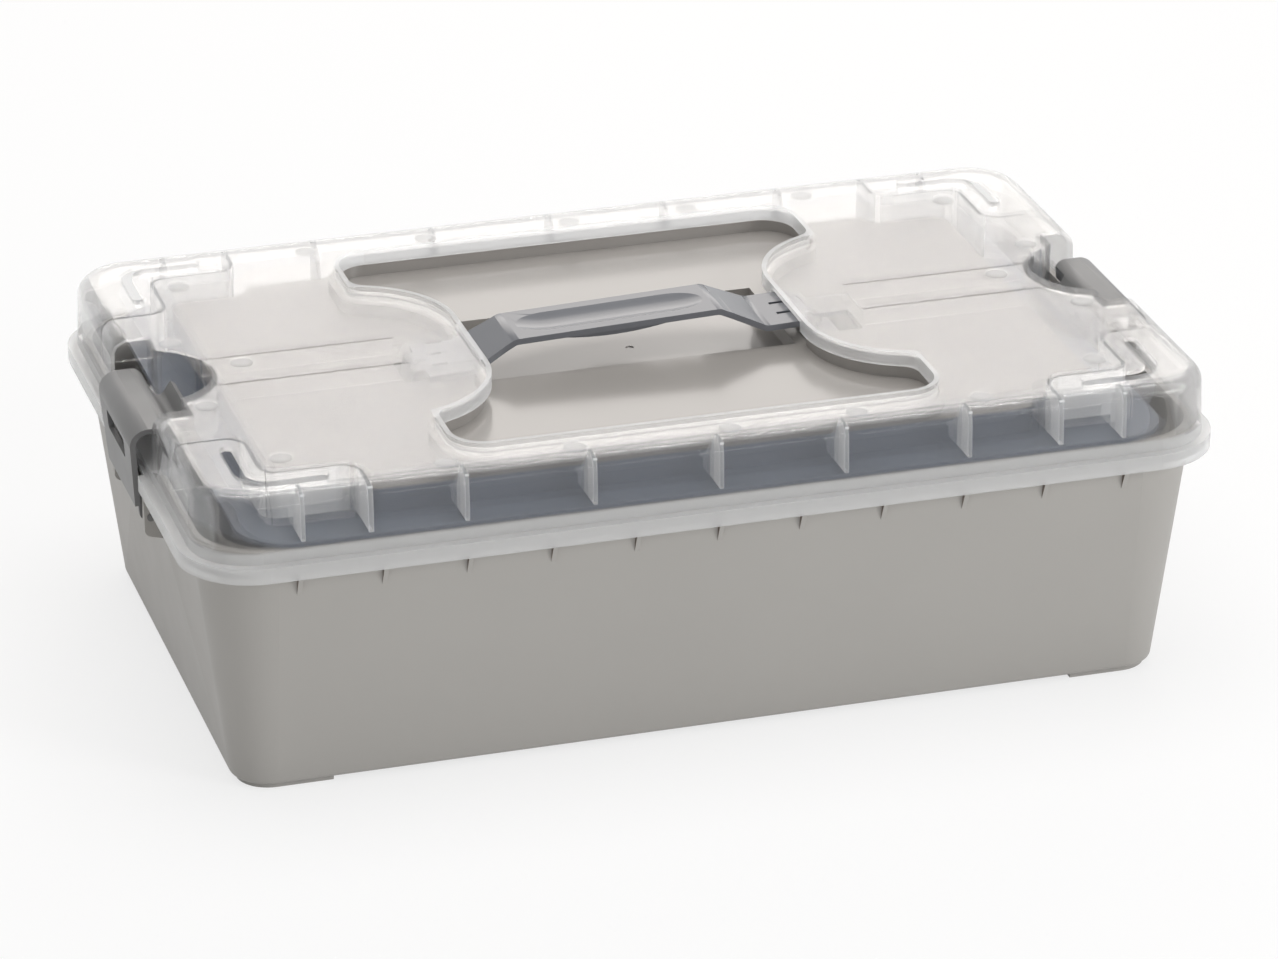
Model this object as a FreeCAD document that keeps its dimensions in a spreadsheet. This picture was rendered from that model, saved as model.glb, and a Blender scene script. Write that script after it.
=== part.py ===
import FreeCAD, Part
import math
import os
from types import SimpleNamespace

import Sketcher

# Frame: X along the box, the front is -Y, Z up, origin under the middle of the feet. Millimetres.

SIZES = {
    "foot_height": (2.15, "stacking feet below the floor"),
    "foot_breadth": (4.0, "width of a foot ridge, runs in the lid's corner slot"),
    "foot_inset": (2.4, "foot ridge in from the foot of the wall"),
    "foot_long_end": (145.9, "end of the long arm of a foot"),
    "foot_short_end": (75.0, "end of the short arm of a foot"),
    "tub_base_half_x": (182.6, "half length at the floor"),
    "tub_base_half_y": (105.3, "half width at the floor"),
    "tub_base_round": (15.0, "corner radius at the floor"),
    "tub_draft": (7.08, "lean of the tub walls, degrees"),
    "tub_wall": (2.2, "wall of the tub"),
    "tub_floor": (2.2, "floor of the tub"),
    "tub_edge_round": (1.8, "rounding of the bottom edge"),
    "rim_z": (95.2, "underside of the rim flange"),
    "rim_thickness": (2.3, "rim flange"),
    "rim_half_x": (199.1, "half length over the rim flange"),
    "rim_half_y": (121.9, "half width over the rim flange"),
    "rim_round": (27.0, "corner radius of the rim flange"),
    "collar_top_z": (103.0, "top of the collar that the tray rests on"),
    "collar_dip_half": (40.0, "half width of the dip in the collar at each latch"),
    "collar_dip_z": (99.0, "level of that dip"),
    "gusset_first_x": (160.0, "outermost gusset under the rim"),
    "gusset_count": (11, "gussets along the front"),
    "gusset_thickness": (1.8, "gusset web"),
    "gusset_tip_z": (83.7, "lower tip of a gusset on the wall"),
    "lug_inner_y": (25.0, "inner face of a latch lug"),
    "lug_thickness": (3.5, "latch lug plate"),
    "lug_reach_x": (198.5, "outer edge of a latch lug"),
    "lug_foot_z": (73.5, "lower edge of a latch lug"),
    "pin_x": (196.0, "hinge pin from the middle"),
    "pin_z": (81.0, "hinge pin above the table"),
    "pin_radius": (1.5, "hinge pin"),
    "pin_proud": (0.5, "pin end outside the lug"),
    "pin_seat": (0.02, "radial gap of the pin in the lugs"),
    "pin_play": (0.06, "radial gap of the pin in the latch eyes"),
    "eye_radius": (3.0, "latch eye"),
    "latch_bottom_x": (200.8, "outer face at the bottom edge"),
    "latch_bottom_z": (83.8, "bottom edge of the latch plate"),
    "latch_top_x": (203.4, "outer face produced to the top"),
    "latch_top_z": (117.2, "top of the latch arch"),
    "latch_arch_x": (187.2, "inner end of the arch"),
    "latch_valley_x": (182.0, "lowest point of the hook"),
    "latch_valley_z": (107.4, "hook corner on the upper side"),
    "latch_lip_x": (177.0, "finger lip end"),
    "latch_hook_half": (18.5, "half width of the hook and the finger lip"),
    "latch_hook_x": (186.0, "where the arch narrows to the hook"),
    "latch_lip_z": (115.0, "finger lip end"),
    "latch_top_round": (7.0, "outer bend of the arch"),
    "latch_arch_round": (5.0, "inner bend of the arch"),
    "latch_valley_round": (2.5, "bend of the hook"),
    "latch_thickness": (2.2, "latch wall"),
    "latch_top_half": (29.0, "half width at the top"),
    "latch_bottom_half": (23.5, "half width at the bottom edge"),
    "latch_window_half": (15.0, "half width of the window"),
    "latch_window_low_z": (100.4, "lower edge of the window"),
    "latch_window_high_z": (108.0, "upper edge of the window"),
    "cheek_y": (21.5, "inner face of a latch cheek"),
    "cheek_thickness": (2.0, "latch cheek"),
    "cheek_top_z": (92.5, "upper end of a latch cheek"),
    "latch_gap_side": (1.5, "flanges cut back beside the latch"),
    "latch_gap_x": (198.3, "edge of both flanges behind the latch"),
    "lid_lift": (0.2, "gap between the two flanges"),
    "lid_flange_half_x": (200.8, "half length over the lid flange"),
    "lid_flange_half_y": (123.6, "half width over the lid flange"),
    "lid_flange_round": (28.5, "corner radius of the lid flange"),
    "lid_flange_thickness": (1.8, "lid flange plate"),
    "skirt_bottom_z": (93.3, "lower edge of the lid skirt"),
    "skirt_wall": (1.5, "lid skirt"),
    "hood_foot_half_x": (196.8, "half length of the hood above the flange"),
    "hood_foot_half_y": (119.7, "half width of the hood above the flange"),
    "hood_draft": (2.0, "lean of the hood walls, degrees"),
    "hood_round": (23.0, "corner radius of the hood"),
    "hood_top_z": (126.4, "top of the lid"),
    "hood_edge_round": (7.0, "rounding of the top edge"),
    "lid_wall": (1.8, "lid walls"),
    "lid_panel": (1.9, "lid top panel"),
    "opening_waist_x": (63.0, "opening at the waist"),
    "opening_waist_y": (50.2, "corner where the waist widens"),
    "opening_lobe_x": (94.0, "opening at the lobes"),
    "opening_lobe_y": (63.9, "inner corner of a lobe"),
    "opening_end_y": (96.0, "front and back edge of the opening"),
    "opening_waist_round": (42.0, "curve of the waist"),
    "opening_lobe_round": (7.5, "inner corner of a lobe"),
    "opening_end_round": (13.0, "outer corner of a lobe"),
    "opening_wall": (1.6, "downturned wall round the opening"),
    "opening_wall_z": (120.6, "lower edge of that wall"),
    "window_half": (18.0, "half width of the gaps for the handle feet"),
    "well_centre_x": (191.15, "centre of the finger well curve"),
    "well_radius": (26.15, "finger well curve"),
    "well_floor_z": (107.1, "ledge the latch hooks on"),
    "notch_x": (182.0, "inner wall of the latch notch"),
    "notch_step_x": (184.0, "outer edge of the ledge"),
    "notch_half": (36.0, "half width of the latch notch"),
    "notch_floor_z": (102.3, "floor of the notch outside the ledge"),
    "slot_long_end": (145.5, "end of the long arm of a corner slot"),
    "slot_short_end": (72.8, "end of the short arm of a corner slot"),
    "slot_x": (176.8, "middle of the short arm"),
    "slot_y": (105.5, "middle of the long arm"),
    "slot_breadth": (4.6, "width of a corner slot"),
    "slot_bend": (8.0, "inner bend of a corner slot"),
    "fence_wall": (1.6, "stepped wall under each lid corner"),
    "fence_foot_z": (106.5, "lower edge of that wall"),
    "fence_end_y": (62.5, "where it leaves the end wall"),
    "fence_step_x": (168.7, "its run across the end"),
    "fence_step_y": (97.0, "its run along the side"),
    "fence_end_x": (134.0, "where it meets the front wall"),
    "fence_round": (7.0, "its bends"),
    "rib_thickness": (1.3, "lid ribs"),
    "rib_near_x": (48.5, "second rib from the middle"),
    "rib_far_x": (97.0, "third rib from the middle"),
    "rib_corner_x": (158.5, "rib beside the corner"),
    "rib_top_depth": (7.0, "rib depth under the panel"),
    "rib_mid_depth": (12.0, "rib depth at half height"),
    "rib_mid_z": (114.0, "level of that depth"),
    "rib_foot_z": (105.8, "lower end of a rib"),
    "spine_y": (12.5, "lengthwise ribs beside the middle"),
    "spine_start_x": (91.0, "inner end of the lengthwise ribs"),
    "spine_height": (6.8, "height of the lengthwise ribs"),
    "tray_rim_half_x": (179.5, "half length over the tray rim"),
    "tray_rim_half_y": (116.4, "half width over the tray rim"),
    "tray_rim_round": (20.0, "corner radius of the tray rim"),
    "tray_wall": (2.0, "tray walls"),
    "deck_z": (115.0, "top of the platform"),
    "platform_half_x": (161.0, "half length of the platform"),
    "platform_half_y": (100.0, "half width of the platform"),
    "platform_end_half_y": (92.0, "half width of its ends"),
    "platform_step_x": (129.0, "where the ends step in"),
    "platform_round": (6.0, "corner radius of the platform"),
    "bead_gap": (0.8, "between the lid's opening wall and the bead round it"),
    "bead_wall": (1.8, "bead on the platform"),
    "bead_top_z": (120.0, "top of the bead"),
    "bridge_half_x": (62.0, "half length of the arched bridge"),
    "bridge_front_y": (16.5, "front edge of the arched bridge"),
    "bridge_back_y": (42.0, "back edge of the arched bridge"),
    "bridge_end_z": (108.4, "bridge at its ends"),
    "bridge_peak_z": (119.5, "where its flanks would meet"),
    "bridge_round": (330.0, "curve of the bridge"),
    "gate_radius": (1.6, "gate dimple on the bridge"),
    "hook_hole_start": (68.5, "inner end of the holes the handle hooks through"),
    "hook_hole_end": (92.0, "outer end of those holes"),
    "hook_hole_half": (9.5, "half width of those holes"),
    "handle_z": (121.4, "upper face of the handle feet, level"),
    "handle_shift": (8.0, "handle pushed this far to the left"),
    "handle_tilt": (1.9, "right end tilted up, degrees"),
    "handle_strap": (2.4, "handle strap"),
    "handle_rise": (9.0, "grip above the feet"),
    "grip_end_x": (41.0, "bend at the end of the grip"),
    "foot_start_x": (59.0, "bend at the foot"),
    "foot_end_x": (80.0, "end of the flat foot"),
    "tongue_start_x": (82.5, "tongue after the step"),
    "tongue_drop": (12.5, "tongue below the foot"),
    "tongue_end_x": (92.0, "end of the tongue"),
    "head_length": (2.5, "cross head on the tongue"),
    "head_half": (12.0, "half width of the cross head"),
    "tongue_half": (8.5, "half width of the tongue"),
    "grip_half": (13.3, "half width of the grip"),
    "foot_half": (15.5, "half width of a foot"),
    "grip_bend": (6.0, "bend radius at the grip"),
    "foot_bend": (5.0, "bend radius at the foot"),
    "step_bend": (2.6, "bend radius at the step"),
    "belly_half_x": (34.0, "half length of the belly under the grip"),
    "belly_half_y": (9.5, "half width of the belly"),
    "belly_depth": (8.0, "where the belly flanks would meet"),
    "belly_round": (130.0, "curve of the belly"),
    "channel_radius": (25.0, "channel along the grip, across"),
    "channel_depth": (1.5, "depth of the channel"),
    "channel_half_x": (36.0, "half length of the channel floor"),
    "channel_run": (60.0, "radius at the channel ends"),
    "strap_slot_y": (5.0, "slots in a foot, from the middle"),
    "strap_slot_start": (66.0, "slots in a foot, inner end"),
    "strap_slot_length": (6.0, "slots in a foot"),
    "strap_slot_breadth": (1.9, "slots in a foot"),
}


class Dim:
    """A size: its number and the expression that gives it from the sheet."""

    def __init__(self, value, text):
        self.value = value
        self.text = text

    def __add__(self, other):
        other = dim(other)
        return Dim(self.value + other.value, f"({self.text} + {other.text})")

    def __sub__(self, other):
        other = dim(other)
        return Dim(self.value - other.value, f"({self.text} - {other.text})")

    def __mul__(self, other):
        other = dim(other)
        return Dim(self.value * other.value, f"({self.text} * {other.text})")

    def __truediv__(self, other):
        other = dim(other)
        return Dim(self.value / other.value, f"({self.text} / {other.text})")

    def __neg__(self):
        return self * -1


def dim(item):
    if isinstance(item, Dim):
        return item
    return Dim(float(item), f"({item})")


def root(item):
    return Dim(math.sqrt(item.value), f"sqrt({item.text})")


def tangent(angle):
    return Dim(math.tan(math.radians(angle.value)), f"tan({angle.text} * 1 deg)")


doc = FreeCAD.newDocument("art_supply_box")
sheet = doc.addObject("Spreadsheet::Sheet", "Sheet")
s = SimpleNamespace()
for row, (alias, (number, note)) in enumerate(SIZES.items(), start=1):
    sheet.set(f"A{row}", alias)
    sheet.set(f"B{row}", str(number))
    sheet.setAlias(f"B{row}", alias)
    sheet.set(f"C{row}", note)
    setattr(s, alias, Dim(float(number), f"Sheet.{alias}"))
doc.recompute()

worked_out = []


def keep(item):
    """Put a worked-out size in its own cell, so that expressions stay short."""
    worked_out.append(item)
    row = len(SIZES) + len(worked_out)
    alias = f"worked_out_{len(worked_out)}"
    sheet.set(f"A{row}", alias)
    sheet.set(f"B{row}", "=" + item.text.replace("Sheet.", ""))
    sheet.setAlias(f"B{row}", alias)
    return Dim(item.value, f"Sheet.{alias}")


def bind(target, prop, item):
    target.setExpression(prop, dim(item).text)


def new_body(name):
    body = doc.addObject("PartDesign::Body", name)
    body.Label = name
    return body


def origin_item(body, role):
    return [item for item in body.Origin.OriginFeatures if item.Role == role][0]


def new_sketch(body, name, plane, offset):
    sketch = body.newObject("Sketcher::SketchObject", name)
    sketch.AttachmentSupport = [(origin_item(body, plane + "_Plane"), "")]
    sketch.MapMode = "FlatFace"
    bind(sketch, "AttachmentOffset.Base.z", offset)
    return sketch


def hold(sketch, kind, geometry, position, item, name):
    """Dimension a point from the sketch origin, or a radius, by a sheet expression."""
    item = dim(item)
    if kind == "Radius":
        index = sketch.addConstraint(Sketcher.Constraint(kind, geometry, item.value))
    else:
        index = sketch.addConstraint(Sketcher.Constraint(kind, -1, 1, geometry, position, item.value))
    sketch.renameConstraint(index, name)
    bind(sketch, "Constraints." + name, item)


def outline(body, name, plane, offset, *loops):
    """Sketch of closed outlines; each corner is (x, y, radius), radius 0 for a sharp one."""
    sketch = new_sketch(body, name, plane, offset)
    for number, loop in enumerate(loops):
        draw_loop(sketch, f"loop{number}", [tuple(dim(item) for item in corner) for corner in loop])
    return sketch


def draw_loop(sketch, label, corners):
    count = len(corners)
    spots = [FreeCAD.Vector(x.value, y.value, 0) for x, y, r in corners]
    ends = []
    for i, (x, y, r) in enumerate(corners):
        back = (spots[i - 1] - spots[i]).normalize()
        ahead = (spots[(i + 1) % count] - spots[i]).normalize()
        if r.value <= 0:
            ends.append((spots[i], spots[i], None))
            continue
        half = math.acos(max(-1.0, min(1.0, back.dot(ahead)))) / 2
        run = r.value / math.tan(half)
        centre = spots[i] + (back + ahead).normalize() * (r.value / math.sin(half))
        ends.append((spots[i] + back * run, spots[i] + ahead * run, centre))
    lines = []
    for i in range(count):
        start = ends[i][1]
        stop = ends[(i + 1) % count][0]
        lines.append(sketch.addGeometry(Part.LineSegment(start, stop), False))
    for i, (x, y, r) in enumerate(corners):
        before = lines[i - 1]
        after = lines[i]
        entry, leave, centre = ends[i]
        mark = f"{label}_{i}"
        if centre is None:
            sketch.addConstraint(Sketcher.Constraint("Coincident", before, 2, after, 1))
            hold(sketch, "DistanceX", after, 1, x, mark + "x")
            hold(sketch, "DistanceY", after, 1, y, mark + "y")
            continue
        first = math.atan2(entry.y - centre.y, entry.x - centre.x)
        last = math.atan2(leave.y - centre.y, leave.x - centre.x)
        forward = (last - first) % (2 * math.pi) < math.pi
        if not forward:
            first, last = last, first
        circle = Part.Circle(centre, FreeCAD.Vector(0, 0, 1), r.value)
        arc = sketch.addGeometry(Part.ArcOfCircle(circle, first, last), False)
        sketch.addConstraint(Sketcher.Constraint("Tangent", before, 2, arc, 1 if forward else 2))
        sketch.addConstraint(Sketcher.Constraint("Tangent", arc, 2 if forward else 1, after, 1))
        corner = sketch.addGeometry(Part.Point(spots[i]), True)
        sketch.addConstraint(Sketcher.Constraint("PointOnObject", corner, 1, before))
        sketch.addConstraint(Sketcher.Constraint("PointOnObject", corner, 1, after))
        hold(sketch, "DistanceX", corner, 1, x, mark + "x")
        hold(sketch, "DistanceY", corner, 1, y, mark + "y")
        hold(sketch, "Radius", arc, 0, r, mark + "r")


def disc(body, name, plane, offset, *circles):
    """Sketch of circles given as (x, y, radius)."""
    sketch = new_sketch(body, name, plane, offset)
    for number, (x, y, r) in enumerate(circles):
        spot = FreeCAD.Vector(dim(x).value, dim(y).value, 0)
        ring = sketch.addGeometry(Part.Circle(spot, FreeCAD.Vector(0, 0, 1), dim(r).value), False)
        hold(sketch, "DistanceX", ring, 3, x, f"disc{number}x")
        hold(sketch, "DistanceY", ring, 3, y, f"disc{number}y")
        hold(sketch, "Radius", ring, 0, r, f"disc{number}r")
    return sketch


def box_loop(x0, x1, y0, y1, r=0):
    return [(x0, y0, r), (x1, y0, r), (x1, y1, r), (x0, y1, r)]


def centred(half_x, half_y, r):
    return box_loop(-dim(half_x), half_x, -dim(half_y), half_y, r)


def extrude(body, kind, sketch, length, side="One side", backwards=False):
    feature = body.newObject("PartDesign::" + kind, sketch.Label + "_" + kind.lower())
    feature.Profile = sketch
    feature.SideType = side
    feature.Reversed = backwards
    bind(feature, "Length", length)
    sketch.Visibility = False
    body.Tip = feature
    return feature


def pad(body, sketch, length, **options):
    return extrude(body, "Pad", sketch, length, **options)


def pocket(body, sketch, length, **options):
    return extrude(body, "Pocket", sketch, length, **options)


def loft(body, kind, lower, upper):
    feature = body.newObject("PartDesign::" + kind, lower.Label + "_loft")
    feature.Profile = lower
    feature.Sections = [upper]
    feature.Ruled = True
    body.Tip = feature
    return feature


def draft(body, feature, angle, neutral_z, flare):
    """Lean the upright faces of a feature, hinged on the level where the size is given."""
    doc.recompute()
    upright = []
    neutral = None
    for number, face in enumerate(feature.Shape.Faces, start=1):
        box = face.BoundBox
        if box.ZLength > 1:
            upright.append(f"Face{number}")
        elif abs(box.ZMin - neutral_z.value) < 1e-4:
            neutral = f"Face{number}"
    leaning = body.newObject("PartDesign::Draft", feature.Label + "_draft")
    leaning.Base = (feature, upright)
    leaning.NeutralPlane = (feature, [neutral])
    leaning.Reversed = flare
    bind(leaning, "Angle", angle)
    body.Tip = leaning
    return leaning


def fillet(body, feature, radius, wanted):
    """Round the edges of a feature whose bounding box passes the test."""
    doc.recompute()
    names = []
    for number, edge in enumerate(feature.Shape.Edges, start=1):
        if wanted(edge.BoundBox):
            names.append(f"Edge{number}")
    rounded = body.newObject("PartDesign::Fillet", feature.Label + "_round")
    rounded.Base = (feature, names)
    bind(rounded, "Radius", radius)
    body.Tip = rounded
    return rounded


def level(z):
    """Test for edges that lie flat at one height."""
    return lambda box: abs(box.ZMin - z.value) < 1e-4 and abs(box.ZMax - z.value) < 1e-4


def strip(path, thickness, end_round=0):
    """Outline of a band: the path and its copy shifted to the left by the thickness."""
    path = [tuple(dim(item) for item in point) for point in path]
    normals = []
    for (x0, y0, r0), (x1, y1, r1) in zip(path, path[1:]):
        length = keep(root((x1 - x0) * (x1 - x0) + (y1 - y0) * (y1 - y0)))
        normals.append((keep((y0 - y1) / length), keep((x1 - x0) / length)))
    shifted = []
    for i, (x, y, r) in enumerate(path):
        n0 = normals[max(i - 1, 0)]
        n1 = normals[min(i, len(normals) - 1)]
        share = keep(dim(thickness) / (n0[0] * n1[0] + n0[1] * n1[1] + 1))
        if i in (0, len(path) - 1):
            radius = dim(end_round)
        elif n0[0].value * n1[1].value - n0[1].value * n1[0].value > 0:
            radius = r - thickness
        else:
            radius = r + thickness
        shifted.append((keep(x + (n0[0] + n1[0]) * share), keep(y + (n0[1] + n1[1]) * share), radius))
    first = (path[0][0], path[0][1], dim(end_round))
    last = (path[-1][0], path[-1][1], dim(end_round))
    return [first] + path[1:-1] + [last] + shifted[::-1]


def flip(loop, sign_x, sign_y=1):
    return [(dim(x) * sign_x, dim(y) * sign_y, r) for x, y, r in loop]


shoulder_x = s.opening_lobe_x - s.opening_waist_x
shoulder_y = s.opening_lobe_y - s.opening_waist_y
shoulder_lean = keep((root(shoulder_x * shoulder_x + shoulder_y * shoulder_y) - shoulder_y) / shoulder_x)


def butterfly(grow):
    """Outline of the lid's centre opening, grown outwards."""
    grow = dim(grow)
    quarter = [
        (s.opening_waist_x + grow, s.opening_waist_y - shoulder_lean * grow, s.opening_waist_round - grow),
        (s.opening_lobe_x + grow, s.opening_lobe_y - shoulder_lean * grow, s.opening_lobe_round + grow),
        (s.opening_lobe_x + grow, s.opening_end_y + grow, s.opening_end_round + grow),
    ]
    back = quarter + flip(quarter, -1)[::-1]
    return back + flip(back, 1, -1)[::-1]


def block(name, half_x, half_y, corner, low_z, high_z, lean, flare, edge_z, edge_round):
    """A body that starts as a leaning block with one rounded edge; flare leans it outwards."""
    body = new_body(name)
    foot = outline(body, name + "_foot", "XY", low_z, centred(half_x, half_y, corner))
    form = pad(body, foot, high_z - low_z)
    form = draft(body, form, lean, low_z, flare)
    fillet(body, form, edge_round, level(edge_z))
    return body


flange_seat_z = s.rim_z + s.rim_thickness + s.lid_lift
panel_z = s.hood_top_z - s.lid_panel
tub_spread = keep((s.rim_z - s.foot_height) * tangent(s.tub_draft))
mouth_half_x = s.tub_base_half_x + tub_spread
mouth_half_y = s.tub_base_half_y + tub_spread
mouth_round = s.tub_base_round + tub_spread
latch_clear = s.latch_top_half + s.latch_gap_side
lug_mid_y = s.lug_inner_y + s.lug_thickness / 2


# Tub
def finish_tub(tub):
    rim = outline(tub, "rim", "XY", s.rim_z, centred(s.rim_half_x, s.rim_half_y, s.rim_round))
    pad(tub, rim, s.rim_thickness)
    collar = outline(tub, "collar", "XY", s.rim_z,
                     centred(mouth_half_x, mouth_half_y, mouth_round))
    pad(tub, collar, s.collar_top_z - s.rim_z)

    tip_y = s.tub_base_half_y + (s.gusset_tip_z - s.foot_height) * tangent(s.tub_draft)
    web = [(s.tub_base_half_y, s.gusset_tip_z, 0), (tip_y, s.gusset_tip_z, 0),
           (s.rim_half_y - 1, s.rim_z + 0.5, 0), (s.tub_base_half_y, s.rim_z + 0.5, 0)]
    gussets = outline(tub, "gussets", "YZ", -s.gusset_first_x, web, flip(web, -1))
    first = pad(tub, gussets, s.gusset_thickness, side="Symmetric")
    row = tub.newObject("PartDesign::LinearPattern", "gusset_row")
    row.Originals = [first]
    row.Direction = (origin_item(tub, "X_Axis"), [""])
    bind(row, "Length", s.gusset_first_x * 2)
    bind(row, "Occurrences", s.gusset_count)
    tub.Tip = row

    for end in (-1, 1):
        for side in (-1, 1):
            plate = [(s.tub_base_half_x, s.lug_foot_z - 4, 0), (s.lug_reach_x, s.lug_foot_z, 3),
                     (s.lug_reach_x, s.rim_z + 0.5, 0), (s.tub_base_half_x, s.rim_z + 0.5, 0)]
            lug = outline(tub, f"lug{end}{side}", "XZ", lug_mid_y * -side, flip(plate, end))
            pad(tub, lug, s.lug_thickness, side="Symmetric")

    for end in (-1, 1):
        for side in (-1, 1):
            run_y = s.tub_base_half_y - s.foot_inset
            run_x = s.tub_base_half_x - s.foot_inset
            arm = [(s.foot_long_end, run_y, 0), (run_x, run_y, s.tub_base_round - s.foot_inset),
                   (run_x, s.foot_short_end, 0)]
            ridge = strip(arm[::-1], s.foot_breadth)
            foot = outline(tub, f"foot{end}{side}", "XY", 0, flip(ridge, end, side))
            pad(tub, foot, s.foot_height + 0.5)

    floor_top_z = s.foot_height + s.tub_floor
    inset = s.tub_floor * tangent(s.tub_draft) - s.tub_wall
    inner_x = mouth_half_x - s.tub_wall
    inner_y = mouth_half_y - s.tub_wall
    inner_round = mouth_round - s.tub_wall
    low = outline(tub, "inside_floor", "XY", floor_top_z,
                  centred(s.tub_base_half_x + inset, s.tub_base_half_y + inset, s.tub_base_round + inset))
    high = outline(tub, "inside_mouth", "XY", s.rim_z, centred(inner_x, inner_y, inner_round))
    loft(tub, "SubtractiveLoft", low, high)
    mouth = outline(tub, "mouth", "XY", s.collar_top_z, centred(inner_x, inner_y, inner_round))
    pocket(tub, mouth, s.collar_top_z - s.rim_z)
    gaps = [box_loop(s.latch_gap_x * end, (s.rim_half_x + 5) * end, -latch_clear, latch_clear) for end in (-1, 1)]
    cut = outline(tub, "latch_gaps", "XY", s.rim_z + s.rim_thickness, *gaps)
    pocket(tub, cut, s.rim_thickness)
    dips = [box_loop((inner_x - 2) * end, (mouth_half_x + 2) * end, -s.collar_dip_half, s.collar_dip_half)
            for end in (-1, 1)]
    cut = outline(tub, "collar_dips", "XY", s.collar_top_z, *dips)
    pocket(tub, cut, s.collar_top_z - s.collar_dip_z)
    bores = disc(tub, "pin_bores", "XZ", 0, *[(s.pin_x * end, s.pin_z, s.pin_radius + s.pin_seat) for end in (-1, 1)])
    pocket(tub, bores, (s.lug_inner_y + s.lug_thickness) * 2 + 4, side="Symmetric")


# Tray: a thin raised platform on a rim, with an arched bridge sunk into it under the handle
def make_tray():
    tray = new_body("tray")
    rim = outline(tray, "tray_rim", "XY", s.collar_top_z,
                  centred(s.tray_rim_half_x, s.tray_rim_half_y, s.tray_rim_round))
    pad(tray, rim, s.tray_wall)
    platform = outline(tray, "platform", "XY", s.collar_top_z, platform_loop(0))
    pad(tray, platform, s.deck_z - s.collar_top_z)
    hollow = outline(tray, "hollow", "XY", s.collar_top_z, platform_loop(s.tray_wall))
    pocket(tray, hollow, s.deck_z - s.tray_wall - s.collar_top_z, backwards=True)

    bead_grow = s.opening_wall + s.bead_gap
    bead = outline(tray, "bead", "XY", s.deck_z - 0.5, butterfly(bead_grow + s.bead_wall), butterfly(bead_grow))
    pad(tray, bead, s.bead_top_z - s.deck_z + 0.5)
    gaps = [box_loop((s.opening_waist_x - 1) * end, (s.opening_waist_x + bead_grow + s.bead_wall + 3) * end,
                     -s.window_half - 1, s.window_half + 1) for end in (-1, 1)]
    cut = outline(tray, "foot_gaps", "XY", s.bead_top_z, *gaps)
    pocket(tray, cut, s.bead_top_z - s.deck_z)

    wall = s.tray_wall
    under_z = s.bridge_end_z - wall
    block = outline(tray, "bridge_block", "XY", under_z,
                    box_loop(-s.bridge_half_x - wall, s.bridge_half_x + wall,
                             -(s.bridge_front_y + wall), s.bridge_back_y + wall))
    pad(tray, block, s.deck_z - under_z)
    bridge_span = s.bridge_front_y + s.bridge_back_y
    above = [(-s.bridge_half_x, s.bridge_end_z, 0), (0, s.bridge_peak_z, s.bridge_round),
             (s.bridge_half_x, s.bridge_end_z, 0), (s.bridge_half_x, s.deck_z + 2, 0),
             (-s.bridge_half_x, s.deck_z + 2, 0)]
    cut = outline(tray, "bridge_top", "XZ", s.bridge_front_y, above)
    pocket(tray, cut, bridge_span)
    below = [(-s.bridge_half_x, under_z, 0), (0, s.bridge_peak_z - wall, s.bridge_round - wall),
             (s.bridge_half_x, under_z, 0), (s.bridge_half_x, under_z - 1, 0), (-s.bridge_half_x, under_z - 1, 0)]
    cut = outline(tray, "bridge_under", "XZ", s.bridge_front_y, below)
    pocket(tray, cut, bridge_span)
    holes = [box_loop(s.hook_hole_start * end, s.hook_hole_end * end, -s.hook_hole_half, s.hook_hole_half)
             for end in (-1, 1)]
    cut = outline(tray, "hook_holes", "XY", s.deck_z, *holes)
    pocket(tray, cut, s.tray_wall)
    gate = disc(tray, "gate", "XY", s.deck_z, (0, 0, s.gate_radius))
    pocket(tray, gate, 1.1)
    return tray


def platform_loop(inset):
    """Outline of the platform, stepped in at its corners to clear the lid's fences."""
    inset = dim(inset)
    quarter = [
        (s.platform_half_x - inset, s.platform_end_half_y - inset, s.platform_round),
        (s.platform_step_x - inset, s.platform_end_half_y - inset, s.platform_round),
        (s.platform_step_x - inset, s.platform_half_y - inset, s.platform_round * 0.6),
    ]
    back = quarter + flip(quarter, -1)[::-1]
    return back + flip(back, 1, -1)[::-1]


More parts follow.
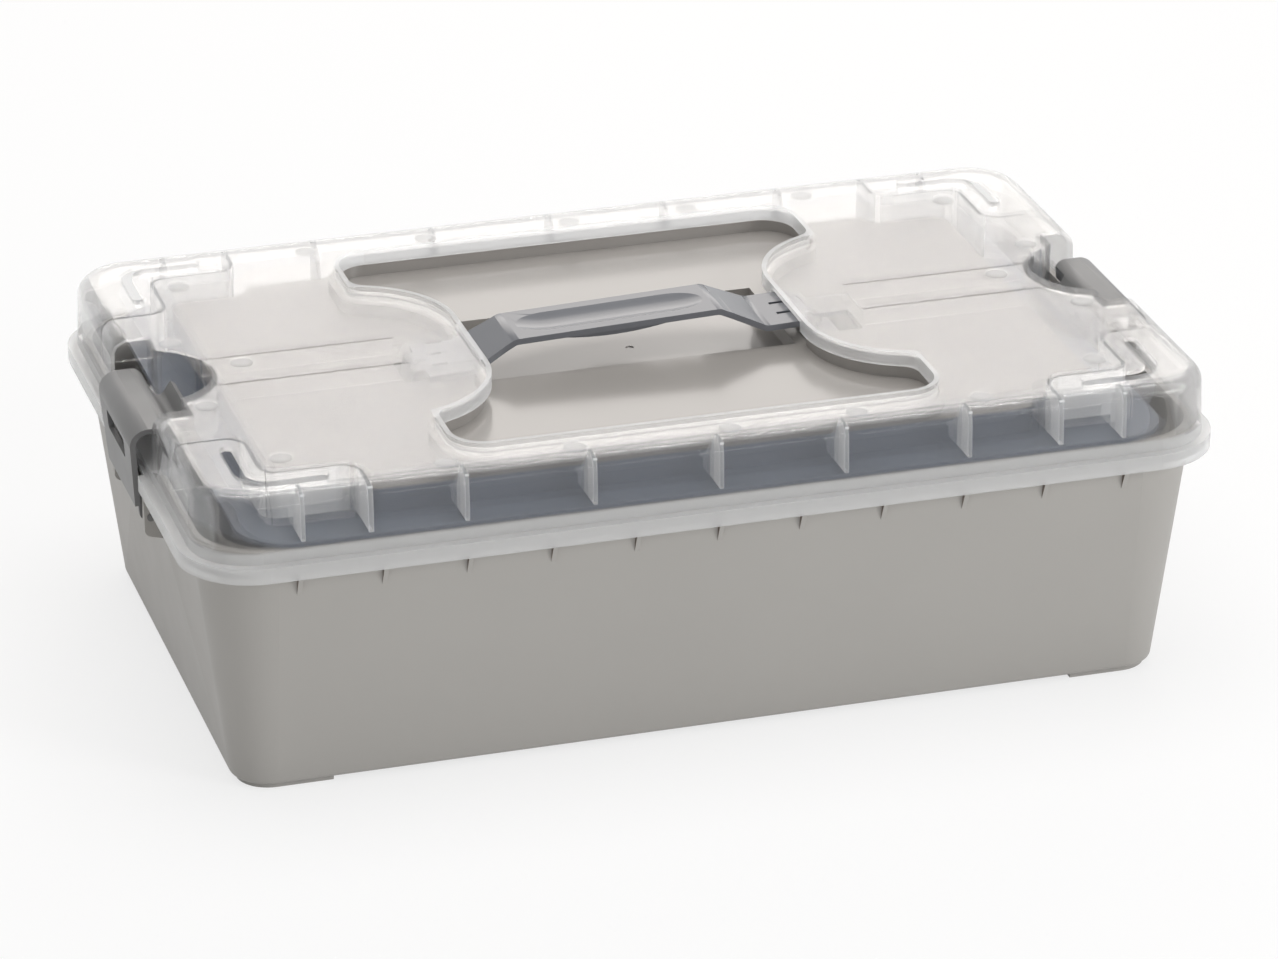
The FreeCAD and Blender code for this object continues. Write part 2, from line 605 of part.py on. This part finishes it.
# Handle: a strap drawn level with its feet at height 0, then set down tilted and off centre
def make_handle():
    handle = new_body("handle")
    half = [(s.grip_end_x, s.handle_rise, s.grip_bend), (s.foot_start_x, 0, s.foot_bend),
            (s.foot_end_x, 0, s.step_bend), (s.tongue_start_x, -s.tongue_drop, s.step_bend),
            (s.tongue_end_x, -s.tongue_drop, 0)]
    path = half[::-1] + flip(half, -1)
    side = outline(handle, "strap", "XZ", 0, strip(path, s.handle_strap))
    pad(handle, side, s.foot_half * 2, side="Symmetric")
    belly_top = s.handle_rise - s.handle_strap / 2
    belly = outline(handle, "belly", "XZ", 0,
                    [(-s.belly_half_x, belly_top, 0), (0, belly_top - s.belly_depth, s.belly_round),
                     (s.belly_half_x, belly_top, 0)])
    pad(handle, belly, s.belly_half_y * 2, side="Symmetric")
    head_x = s.tongue_end_x - s.head_length
    shoulder_x = s.foot_end_x - s.step_bend * 1.6
    edge = [(s.tongue_end_x + 1, s.head_half, 0), (head_x, s.head_half, 0), (head_x, s.tongue_half, 0),
            (shoulder_x, s.tongue_half, 2), (shoulder_x, s.foot_half + 0.01, 0),
            (s.foot_start_x, s.foot_half + 0.01, 8), (s.grip_end_x + 4, s.grip_half, 20)]
    left = edge + flip(edge, -1)[::-1]
    plan = left + flip(left, 1, -1)[::-1]
    around = outline(handle, "plan", "XY", s.handle_rise + 5,
                     centred(s.tongue_end_x + 5, s.foot_half + 5, 0), plan)
    pocket(handle, around, s.handle_rise + s.tongue_drop + 20)
    axis_z = s.handle_rise - s.channel_depth + s.channel_radius
    reach = s.channel_half_x + s.channel_run
    cigar = outline(handle, "channel", "XZ", 0,
                    [(-reach, 0, 0), (-s.channel_half_x, -s.channel_radius, s.channel_run),
                     (s.channel_half_x, -s.channel_radius, s.channel_run), (reach, 0, 0)])
    bind(cigar, "AttachmentOffset.Base.y", axis_z)
    groove = handle.newObject("PartDesign::Groove", "channel_groove")
    groove.Profile = cigar
    groove.ReferenceAxis = (cigar, ["H_Axis"])
    groove.Angle = 360
    handle.Tip = groove
    slots = []
    for end in (-1, 1):
        for side in (-1, 1):
            half_breadth = s.strap_slot_breadth / 2
            slots.append(box_loop(s.strap_slot_start * end, (s.strap_slot_start + s.strap_slot_length) * end,
                                  s.strap_slot_y * side - half_breadth, s.strap_slot_y * side + half_breadth))
    cut = outline(handle, "strap_slots", "XY", 1, *slots)
    pocket(handle, cut, s.handle_strap + 2)
    handle.Placement = FreeCAD.Placement(FreeCAD.Vector(-s.handle_shift.value, 0, s.handle_z.value),
                                         FreeCAD.Rotation(FreeCAD.Vector(0, -1, 0), s.handle_tilt.value))
    bind(handle, "Placement.Base.x", -s.handle_shift)
    bind(handle, "Placement.Base.z", s.handle_z)
    bind(handle, "Placement.Rotation.Angle", s.handle_tilt)
    return handle


# Lid: the outside form, less a core that holds the ribs, the fences and the wells as cuts
def finish_lid(core, lid):
    wall = s.lid_wall
    over = 1
    top_z = panel_z + over
    ring = outline(core, "ring", "XY", top_z, butterfly(s.opening_wall))
    pocket(core, ring, top_z - s.opening_wall_z)
    wells = [(s.well_centre_x * end, 0, s.well_radius + wall) for end in (-1, 1)]
    far_x = s.hood_foot_half_x + 5
    for end in (-1, 1):
        well = disc(core, f"well_wall{end}", "XY", top_z, wells[0 if end < 0 else 1])
        pocket(core, well, top_z - s.well_floor_z + wall)
        ledge = outline(core, f"ledge_wall{end}", "XY", top_z,
                        box_loop((s.notch_x - wall) * end, far_x * end, -s.notch_half - wall, s.notch_half + wall))
        pocket(core, ledge, top_z - s.well_floor_z + wall)
        notch = outline(core, f"notch_wall{end}", "XY", top_z,
                        box_loop((s.notch_step_x - wall) * end, far_x * end, -s.notch_half - wall, s.notch_half + wall))
        pocket(core, notch, top_z - s.notch_floor_z + wall)
        spines = [box_loop(s.spine_start_x * end, (s.well_centre_x - s.well_radius + 2) * end,
                           s.spine_y * side - s.rib_thickness / 2, s.spine_y * side + s.rib_thickness / 2)
                  for side in (-1, 1)]
        spine = outline(core, f"spines{end}", "XY", top_z, *spines)
        pocket(core, spine, s.spine_height + over)
        for side in (-1, 1):
            path = [(far_x, s.fence_end_y, 0), (s.fence_step_x, s.fence_end_y, s.fence_round),
                    (s.fence_step_x, s.fence_step_y, s.fence_round), (s.fence_end_x, s.fence_step_y, s.fence_round),
                    (s.fence_end_x, s.hood_foot_half_y + 5, 0)]
            fence = outline(core, f"fence{end}{side}", "XY", top_z, flip(strip(path, s.fence_wall), end, side))
            pocket(core, fence, top_z - s.fence_foot_z)
    inside_y = s.hood_foot_half_y - wall - 1
    rib = [(inside_y + 10, top_z, 0), (inside_y - s.rib_top_depth, top_z, 0),
           (inside_y - s.rib_mid_depth, s.rib_mid_z, 0), (inside_y - s.rib_mid_depth, s.rib_foot_z, 0),
           (inside_y + 10, s.rib_foot_z, 0)]
    for number, rib_x in enumerate((dim(0), s.rib_near_x, s.rib_far_x, s.rib_corner_x)):
        for end in (-1, 1):
            if number == 0 and end < 0:
                continue
            ribs = outline(core, f"rib{number}{end}", "YZ", rib_x * end, rib, flip(rib, -1))
            pocket(core, ribs, s.rib_thickness, side="Symmetric")

    flange = outline(lid, "flange", "XY", s.skirt_bottom_z,
                     centred(s.lid_flange_half_x, s.lid_flange_half_y, s.lid_flange_round))
    pad(lid, flange, flange_seat_z + s.lid_flange_thickness - s.skirt_bottom_z)
    under = outline(lid, "skirt_inside", "XY", flange_seat_z,
                    centred(s.lid_flange_half_x - s.skirt_wall, s.lid_flange_half_y - s.skirt_wall,
                            s.lid_flange_round - s.skirt_wall))
    pocket(lid, under, flange_seat_z - s.skirt_bottom_z + over)
    hollow = lid.newObject("PartDesign::Boolean", "lid_inside")
    hollow.setObjects([core])
    hollow.Type = "Cut"
    lid.Tip = hollow

    top_z = s.hood_top_z + over
    opening = outline(lid, "opening", "XY", top_z, butterfly(0))
    pocket(lid, opening, top_z - s.opening_wall_z + over)
    gaps = [box_loop((s.opening_waist_x - 3) * end, (s.opening_waist_x + s.opening_wall + 1) * end,
                     -s.window_half, s.window_half) for end in (-1, 1)]
    cut = outline(lid, "foot_windows", "XY", panel_z, *gaps)
    pocket(lid, cut, panel_z - s.opening_wall_z + over)
    for end in (-1, 1):
        cut = disc(lid, f"well{end}", "XY", top_z, (s.well_centre_x * end, 0, s.well_radius))
        pocket(lid, cut, top_z - s.well_floor_z)
        cut = outline(lid, f"ledge{end}", "XY", top_z,
                      box_loop(s.notch_x * end, far_x * end, -s.notch_half, s.notch_half))
        pocket(lid, cut, top_z - s.well_floor_z)
        cut = outline(lid, f"notch{end}", "XY", top_z,
                      box_loop(s.notch_step_x * end, far_x * end, -s.notch_half, s.notch_half))
        pocket(lid, cut, top_z - s.notch_floor_z)
        cut = outline(lid, f"latch_gap{end}", "XY", top_z,
                      box_loop(s.latch_gap_x * end, (far_x + 5) * end, -latch_clear, latch_clear))
        pocket(lid, cut, top_z - s.skirt_bottom_z + over)
        for side in (-1, 1):
            half_slot = s.slot_breadth / 2
            path = [(s.slot_x + half_slot, s.slot_short_end, 0),
                    (s.slot_x + half_slot, s.slot_y + half_slot, s.slot_bend + s.slot_breadth),
                    (s.slot_long_end, s.slot_y + half_slot, 0)]
            slot = strip(path, s.slot_breadth, half_slot * 0.98)
            cut = outline(lid, f"slot{end}{side}", "XY", top_z, flip(slot, end, side))
            pocket(lid, cut, s.lid_panel + over * 2)


# Latch: plate, arch, hook and finger lip in one band, with two cheeks that turn on the pin
def make_latch(name, end):
    latch = new_body(name)
    path = [(s.latch_bottom_x, s.latch_bottom_z, 0), (s.latch_top_x, s.latch_top_z, s.latch_top_round),
            (s.latch_arch_x, s.latch_top_z, s.latch_arch_round),
            (s.latch_valley_x, s.latch_valley_z, s.latch_valley_round), (s.latch_lip_x, s.latch_lip_z, 0)]
    band = outline(latch, name + "_band", "XZ", 0, flip(strip(path, s.latch_thickness), end))
    pad(latch, band, s.latch_top_half * 2, side="Symmetric")
    far = s.latch_top_half + 5
    low_z = s.latch_bottom_z - 1
    lean = (s.latch_top_half - s.latch_bottom_half) / (s.latch_top_z - s.latch_bottom_z)
    sides = [[(s.latch_top_half * side, s.latch_top_z, 0), (far * side, s.latch_top_z, 0), (far * side, low_z, 0),
              ((s.latch_bottom_half - lean) * side, low_z, 0)] for side in (-1, 1)]
    cut = outline(latch, name + "_sides", "YZ", 0, *sides)
    pocket(latch, cut, (s.latch_top_x + 10) * 2, side="Symmetric")
    corners = [box_loop((s.latch_lip_x - 5) * end, s.latch_hook_x * end, s.latch_hook_half * side, far * side)
               for side in (-1, 1)]
    cut = outline(latch, name + "_hook", "XY", s.latch_top_z + 1, *corners)
    pocket(latch, cut, s.latch_top_z - s.latch_valley_z + 10)
    half = s.latch_window_half
    window = outline(latch, name + "_window", "YZ", (s.latch_gap_x - 2) * end,
                     box_loop(-half, half, s.latch_window_low_z, s.latch_window_high_z, 1.2))
    pocket(latch, window, 12, backwards=end > 0)
    eye = s.eye_radius
    cheek = [(s.pin_x + eye, s.pin_z - eye, eye * 0.9), (s.pin_x - eye, s.pin_z - eye, eye * 0.9),
             (s.pin_x - eye * 0.8, s.pin_z + eye * 0.8, 2), (s.latch_bottom_x - 1.6, s.cheek_top_z, 0),
             (s.latch_bottom_x - 0.6, s.cheek_top_z, 0)]
    for side in (-1, 1):
        plate = outline(latch, f"{name}_cheek{side}", "XZ", (s.cheek_y + s.cheek_thickness / 2) * -side,
                        flip(cheek, end))
        pad(latch, plate, s.cheek_thickness, side="Symmetric")
    bore = disc(latch, name + "_eyes", "XZ", 0, (s.pin_x * end, s.pin_z, s.pin_radius + s.pin_play))
    pocket(latch, bore, s.latch_top_half * 2 + 4, side="Symmetric")
    return latch


def make_pin(name, end):
    pin = new_body(name)
    rod = disc(pin, name + "_rod", "XZ", 0, (s.pin_x * end, s.pin_z, s.pin_radius))
    pad(pin, rod, (s.lug_inner_y + s.lug_thickness + s.pin_proud) * 2, side="Symmetric")
    return pin


tub = block("tub", s.tub_base_half_x, s.tub_base_half_y, s.tub_base_round, s.foot_height, s.rim_z,
            s.tub_draft, True, s.foot_height, s.tub_edge_round)
lid = block("lid", s.hood_foot_half_x, s.hood_foot_half_y, s.hood_round, flange_seat_z, s.hood_top_z,
            s.hood_draft, False, s.hood_top_z, s.hood_edge_round)
core = block("lid_core", s.hood_foot_half_x - s.lid_wall, s.hood_foot_half_y - s.lid_wall, s.hood_round - s.lid_wall,
             flange_seat_z, panel_z, s.hood_draft, False, panel_z, s.hood_edge_round - s.lid_wall)
finish_tub(tub)
finish_lid(core, lid)
pieces = [
    tub,
    make_tray(),
    make_handle(),
    lid,
    make_latch("latch_left", -1),
    make_latch("latch_right", 1),
    make_pin("latch_pin_left", -1),
    make_pin("latch_pin_right", 1),
]
doc.recompute()

for item in doc.Objects:
    if "Invalid" in item.State or "Error" in item.State:
        raise RuntimeError(f"{item.Name} failed: {item.State}")
    shape = getattr(item, "Shape", None)
    if shape is not None and item.TypeId.startswith("PartDesign::") and (shape.isNull() or not shape.isValid()):
        raise RuntimeError(f"{item.Name} has a bad shape")

os.makedirs("parts", exist_ok=True)
for piece in pieces:
    if len(piece.Shape.Solids) != 1:
        raise RuntimeError(f"{piece.Label} has {len(piece.Shape.Solids)} solids")
    piece.Shape.exportStep(f"parts/{piece.Label}.step")
    print(piece.Label, round(piece.Shape.Volume / 1000, 1), "cm3", piece.Shape.BoundBox)
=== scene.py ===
"""Art supply box on a white floor: grey tub, see-through lid, tray, strap handle and two latches."""
import math

import bmesh
import bpy
from mathutils import Matrix, Vector


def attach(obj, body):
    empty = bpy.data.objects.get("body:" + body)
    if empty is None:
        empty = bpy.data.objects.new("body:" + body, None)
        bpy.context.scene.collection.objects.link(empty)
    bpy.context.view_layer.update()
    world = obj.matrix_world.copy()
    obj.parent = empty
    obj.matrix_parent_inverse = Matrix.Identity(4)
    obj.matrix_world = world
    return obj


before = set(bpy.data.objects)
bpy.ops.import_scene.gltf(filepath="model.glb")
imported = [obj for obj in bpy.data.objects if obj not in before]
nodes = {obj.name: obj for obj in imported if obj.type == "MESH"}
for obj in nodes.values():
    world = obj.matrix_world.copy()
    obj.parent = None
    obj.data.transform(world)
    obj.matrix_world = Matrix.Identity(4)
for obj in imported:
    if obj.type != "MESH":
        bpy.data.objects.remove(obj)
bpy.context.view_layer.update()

# Places on the box in metres, measured from its middle and from the table
lobe_x, lobe_y, lobe_radius = 0.081, 0.083, 0.013
waist_x, waist_y, waist_radius = 0.105, 0.0228, 0.042
bead_margin = 0.0033
opening_wall_margin = 0.0019
tray_top_z = 0.1147
panel_underside_z = 0.1242
lid_flange_top_z = 0.1035
rib_places = (0.0, 0.0485, 0.097, 0.1585)
rib_half = 0.0008
rib_inner_y, rib_outer_y = 0.1045, 0.1176
fence_half = 0.0010
long_fence_y, long_fence_span = 0.0962, (0.151, 0.018)
end_fence_x, end_fence_span = 0.1679, (0.079, 0.018)
short_fence_x, short_fence_span = 0.1332, (0.107, 0.0106)
gusset_z, gusset_half_height, gusset_root_y = 0.0880, 0.0048, 0.1130


class Value:
    """A shader socket that takes part in Python arithmetic."""

    def __init__(self, tree, socket):
        self.tree = tree
        self.socket = socket

    def maths(self, operation, *items):
        node = self.tree.nodes.new("ShaderNodeMath")
        node.operation = operation
        for slot, item in zip(node.inputs, items):
            if isinstance(item, Value):
                self.tree.links.new(item.socket, slot)
            else:
                slot.default_value = item
        return Value(self.tree, node.outputs[0])

    def __add__(self, other):
        return self.maths("ADD", self, other)

    __radd__ = __add__

    def __sub__(self, other):
        return self.maths("SUBTRACT", self, other)

    def __rsub__(self, other):
        return self.maths("SUBTRACT", other, self)

    def __mul__(self, other):
        return self.maths("MULTIPLY", self, other)

    __rmul__ = __mul__

    def size(self):
        return self.maths("ABSOLUTE", self)

    def near(self, centre, reach):
        return self.maths("COMPARE", self, centre, reach)

    def over(self, limit):
        return self.maths("GREATER_THAN", self, limit)

    def under(self, limit):
        return self.maths("LESS_THAN", self, limit)

    def capped(self, limit):
        return self.maths("MINIMUM", self, limit)

    def past(self, limit):
        """How far the value lies beyond the limit, or nothing."""
        return self.maths("MAXIMUM", self - limit, 0.0)

    def reach(self, other):
        """Length of the step with this value along one axis and the other along the next."""
        return self.maths("SQRT", self * self + other * other)


class Finish:
    """A node material with a Principled surface."""

    def __init__(self, name):
        self.material = bpy.data.materials.new(name)
        self.material.use_nodes = True
        self.tree = self.material.node_tree
        self.surface = self.tree.nodes["Principled BSDF"]
        self.place = self.node("TexCoord")["Object"]

    def node(self, kind, settings=None, **inputs):
        """Add a node; settings come first, then the values or links of its sockets."""
        node = self.tree.nodes.new("ShaderNode" + kind)
        for key, item in (settings or {}).items():
            setattr(node, key, item)
        for key, item in inputs.items():
            self.feed(node.inputs[key.replace("_", " ")], item)
        return {socket.name: Value(self.tree, socket) for socket in reversed(node.outputs)}

    def feed(self, socket, item):
        if isinstance(item, Value):
            self.tree.links.new(item.socket, socket)
        else:
            socket.default_value = item

    def set(self, **inputs):
        for key, item in inputs.items():
            self.feed(self.surface.inputs[key.replace("_", " ")], item)

    def noise(self, scale, detail=2.0):
        return self.node("TexNoise", Vector=self.place, Scale=scale, Detail=detail)["Fac"]

    def blend(self, share, dark, light):
        """A colour between two others; each is a tuple or another blend."""
        self.node("Mix", {"data_type": "RGBA"})
        mix = self.tree.nodes[-1]
        self.feed(mix.inputs[0], share)
        for slot, item in ((6, dark), (7, light)):
            self.feed(mix.inputs[slot], item if isinstance(item, Value) else (*item, 1))
        return Value(self.tree, mix.outputs[2])

    def bump(self, height, strength, distance):
        return self.node("Bump", Height=height, Strength=strength, Distance=distance)["Normal"]

    def mix_in(self, share, shader):
        """Let another shader take its share of the surface."""
        self.node("MixShader")
        mix = self.tree.nodes[-1]
        self.feed(mix.inputs[0], share)
        self.tree.links.new(self.surface.outputs[0], mix.inputs[1])
        self.feed(mix.inputs[2], shader)
        self.tree.links.new(mix.outputs[0], self.tree.nodes["Material Output"].inputs["Surface"])

    def beyond_opening(self, margin):
        """1 outside the lid's butterfly opening grown by the margin, and 0 inside it."""
        axes = self.node("SeparateXYZ", Vector=self.place)
        along, across = axes["X"].size(), axes["Y"].size()
        past_lobe = along.past(lobe_x).reach(across.past(lobe_y)).over(lobe_radius + margin)
        past_waist = (along - waist_x).reach(across.past(waist_y)).under(waist_radius - margin)
        return (past_lobe + past_waist).capped(1.0)


def moulded_plastic(name, colour, roughness, grain, grain_depth):
    """Opaque moulded plastic with a fine grain and slow changes of shade."""
    spread = 0.04
    finish = Finish(name)
    shade = finish.noise(18.0)
    light = tuple(min(1.0, part * (1 + spread)) for part in colour)
    dark = tuple(part * (1 - spread) for part in colour)
    texture = finish.noise(grain, 3.0)
    finish.set(Base_Color=finish.blend(shade, dark, light),
               Roughness=roughness + 0.12 * (finish.noise(60.0) - 0.5),
               Normal=finish.bump(texture, 0.35, grain_depth))
    return finish.material


def tub_plastic(name):
    """Matte tub plastic, with a dark brown painted shade on the gusset sides that the light misses."""
    finish = Finish(name)
    axes = finish.node("SeparateXYZ", Vector=finish.place)
    facing = finish.node("SeparateXYZ", Vector=finish.node("NewGeometry")["Normal"])["X"]
    at_height = axes["Z"].near(gusset_z, gusset_half_height)
    gusset_painted_shade = facing.size().over(0.8) * at_height * axes["Y"].size().over(gusset_root_y)
    shade = finish.noise(12.0)
    grey = finish.blend(shade, (0.352, 0.340, 0.322), (0.378, 0.366, 0.346))
    # Painted shade: the gusset sides facing along the box take a dark brown that stands in for their
    # shade.
    finish.set(Base_Color=finish.blend(gusset_painted_shade * 0.8, grey, (0.13, 0.095, 0.07)),
               Roughness=0.50 + 0.12 * (finish.noise(60.0) - 0.5),
               Normal=finish.bump(finish.noise(900.0, 3.0), 0.35, 0.00006))
    return finish.material


def tray_plastic(name):
    """Moulded tray: pale and glossy inside the bead, with a darker painted shade round it under the lid,
    and a bluish dark painted shade on the walls and rim.
    """
    finish = Finish(name)
    outside = finish.beyond_opening(bead_margin)
    below_top = finish.node("SeparateXYZ", Vector=finish.place)["Z"].under(tray_top_z)
    shade = finish.noise(14.0)
    pale = finish.blend(shade, (0.326, 0.309, 0.291), (0.356, 0.339, 0.321))
    # Painted shade: the walls and rim below the top take a bluish dark, and the top under the lid a warm
    # dark, standing in for the shade there.
    wall_painted_shade = finish.blend(shade, (0.090, 0.110, 0.146), (0.110, 0.130, 0.166))
    lid_painted_shade = finish.blend(shade, (0.156, 0.146, 0.136), (0.176, 0.165, 0.154))
    finish.set(Base_Color=finish.blend(outside, pale, finish.blend(below_top, lid_painted_shade, wall_painted_shade)),
               Roughness=0.17 + 0.05 * (finish.noise(45.0) - 0.5) + 0.20 * outside)
    return finish.material


def clear_plastic(name, haze=0.0):
    """See-through lid plastic with a whiter share: painted highlight on the ribs, fences and opening
    wall, painted light on the skirt where lit parts show through; haze adds to all.
    """
    finish = Finish(name)
    cloud = finish.noise(25.0)
    finish.set(Base_Color=finish.blend(cloud, (0.81, 0.798, 0.785), (0.85, 0.838, 0.825)),
               Roughness=0.05 + 0.03 * (finish.noise(80.0) - 0.5),
               Transmission_Weight=0.92, IOR=1.42, Alpha=0.44)
    axes = finish.node("SeparateXYZ", Vector=finish.place)
    along, across, height = axes["X"].size(), axes["Y"].size(), axes["Z"]
    ribs = sum(along.near(rib_x, rib_half) for rib_x in rib_places)
    ribs = ribs * across.over(rib_inner_y) * across.under(rib_outer_y)
    fences = (across.near(long_fence_y, fence_half) * along.near(*long_fence_span)
              + along.near(end_fence_x, fence_half) * across.near(*end_fence_span)
              + along.near(short_fence_x, fence_half) * across.near(*short_fence_span))
    # Painted highlight: the ribs, fences and opening wall take a whiter share that stands in for the
    # light they catch; the skirt takes painted light where lit parts show through it.
    walls = 0.8 * (ribs + fences).capped(1.0) * height.under(panel_underside_z)
    rim = 0.5 * (1.0 - finish.beyond_opening(opening_wall_margin))
    skirt = 0.42 * height.under(lid_flange_top_z)
    # The whiter share: real haze where haze is given, painted light where the masks above give it.
    haze_and_painted_light = finish.node("BsdfPrincipled", Base_Color=(0.88, 0.89, 0.90, 1), Roughness=0.4,
                        Transmission_Weight=0.4, IOR=1.2)["BSDF"]
    finish.mix_in((walls + rim + skirt + haze).capped(0.8), haze_and_painted_light)
    return finish.material


def wear(node, material):
    """Give a CAD node its finish."""
    slots = nodes[node].data.materials
    slots.clear()
    slots.append(material)


tub_grey = tub_plastic("tub_grey")
tray_grey = tray_plastic("tray_grey")
handle_grey = moulded_plastic("handle_grey", (0.135, 0.14, 0.155), 0.19, 250.0, 0.00001)
latch_grey = moulded_plastic("latch_grey", (0.165, 0.165, 0.165), 0.42, 700.0, 0.00003)
lid_clear = clear_plastic("lid_clear")
lid_mark = clear_plastic("lid_mark", 0.4)

wear("tub", tub_grey)
wear("tray", tray_grey)
wear("handle", handle_grey)
wear("lid", lid_clear)
for name in ("latch_left", "latch_right", "latch_pin_left", "latch_pin_right"):
    wear(name, latch_grey)


def make_ejector_marks():
    """Faint round marks that the mould's ejector pins left on the underside of the lid's panel."""
    spots = [(x, side * 0.1065) for side in (-1, 1) for x in (-0.102, -0.053, 0.0067, 0.056, 0.105)]
    spots += [(end * 0.1585, side * 0.085) for end in (-1, 1) for side in (-1, 1)]
    spots += [(end * 0.174, side * 0.031) for end in (-1, 1) for side in (-1, 1)]
    spots += [(end * 0.152, 0.005) for end in (-1, 1)]
    mark_z, foot_radius, top_radius, mark_depth = 0.12445, 0.0038, 0.0043, 0.00035
    shape = bmesh.new()
    for x, y in spots:
        bmesh.ops.create_cone(shape, cap_ends=True, segments=32, radius1=foot_radius, radius2=top_radius,
                              depth=mark_depth, matrix=Matrix.Translation((x, y, mark_z)))
    mesh = bpy.data.meshes.new("ejector_marks")
    shape.to_mesh(mesh)
    shape.free()
    marks = bpy.data.objects.new("ejector_marks", mesh)
    bpy.context.scene.collection.objects.link(marks)
    mesh.materials.append(lid_mark)
    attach(marks, "lid")


make_ejector_marks()


def round_edges(node, width):
    """Ease the moulding's edges with modifiers, without touching the imported mesh."""
    item = nodes[node]
    weld = item.modifiers.new("weld", "WELD")
    weld.merge_threshold = 0.00001
    bevel = item.modifiers.new("ease", "BEVEL")
    bevel.width = width
    bevel.segments = 2
    bevel.limit_method = "ANGLE"
    bevel.angle_limit = math.radians(40)
    bevel.use_clamp_overlap = True


for name, width in (("tub", 0.0005), ("handle", 0.0006), ("latch_left", 0.0005), ("latch_right", 0.0005),
                    ("lid", 0.0004)):
    round_edges(name, width)


# Floor, light and camera
def make_floor():
    """White to the eye and in reflections, with the box's shadow left on it."""
    mesh = bpy.data.meshes.new("floor")
    shape = bmesh.new()
    bmesh.ops.create_grid(shape, x_segments=1, y_segments=1, size=4.0)
    shape.to_mesh(mesh)
    shape.free()
    floor = bpy.data.objects.new("floor", mesh)
    bpy.context.scene.collection.objects.link(floor)
    finish = Finish("floor_white")
    path = finish.node("LightPath")
    seen = path["Is Camera Ray"] + path["Is Glossy Ray"] + path["Is Transmission Ray"]
    finish.set(Base_Color=(0.9, 0.9, 0.9, 1), Roughness=0.9, Specular_IOR_Level=0.0)
    glow = finish.node("Emission", Color=(1, 1, 1, 1), Strength=1.0)["Emission"]
    white_share = 0.72
    finish.mix_in(seen.capped(1.0) * white_share, glow)
    mesh.materials.append(finish.material)


def make_world():
    """White backdrop that lights the box at a lower level than it shows."""
    light_level = 0.48
    world = bpy.data.worlds.new("studio")
    bpy.context.scene.world = world
    world.use_nodes = True
    tree = world.node_tree
    backdrop = tree.nodes["Background"]
    path = tree.nodes.new("ShaderNodeLightPath")
    ray_kinds = ("Is Camera Ray", "Is Glossy Ray", "Is Transmission Ray")
    seen = sum(Value(tree, path.outputs[kind]) for kind in ray_kinds).capped(1.0)
    strength = seen * (1.0 - light_level) + light_level
    tree.links.new(strength.socket, backdrop.inputs["Strength"])
    backdrop.inputs["Color"].default_value = (1, 1, 1, 1)


def softbox(name, spot, aim, size, power, colour=(1, 1, 1)):
    """A soft rectangular lamp at the spot, turned to the aim."""
    light = bpy.data.lights.new(name, "AREA")
    light.shape = "RECTANGLE"
    light.size, light.size_y = size
    light.energy = power
    light.color = colour
    lamp = bpy.data.objects.new(name, light)
    lamp.location = spot
    lamp.rotation_euler = (Vector(aim) - Vector(spot)).to_track_quat("-Z", "Y").to_euler()
    bpy.context.scene.collection.objects.link(lamp)


def make_camera():
    """The photo's viewing angle, with a long lens."""
    azimuth = math.radians(-16.877)
    elevation = math.radians(24.456)
    target = Vector((0.00236, -0.00468, 0.060))
    distance = 2.2159
    flat = math.cos(elevation) * distance
    offset = Vector((math.sin(azimuth) * flat, -math.cos(azimuth) * flat, math.sin(elevation) * distance))
    lens = bpy.data.cameras.new("camera")
    lens.sensor_fit = "HORIZONTAL"
    lens.sensor_width = 36.0
    lens.lens = 160.40
    camera = bpy.data.objects.new("camera", lens)
    camera.location = target + offset
    camera.rotation_euler = (-offset).to_track_quat("-Z", "Y").to_euler()
    bpy.context.scene.collection.objects.link(camera)
    bpy.context.scene.camera = camera


make_floor()
make_world()
softbox("overhead", (0.0, 0.1, 1.6), (0, 0, 0.05), (1.5, 1.2), 12.0, (1.0, 0.98, 0.96))
softbox("back", (0.42, 1.39, 0.80), (0, 0, 0.11), (1.5, 0.9), 6.5, (1.0, 0.94, 0.89))
softbox("front_key", (1.3, -1.5, 0.9), (0, 0, 0.05), (0.7, 0.7), 14.0)
softbox("front_strip", (0.5, -2.1, 0.36), (0, 0, 0.11), (1.8, 0.10), 4.0)
make_camera()
bpy.context.scene.view_settings.view_transform = "Standard"
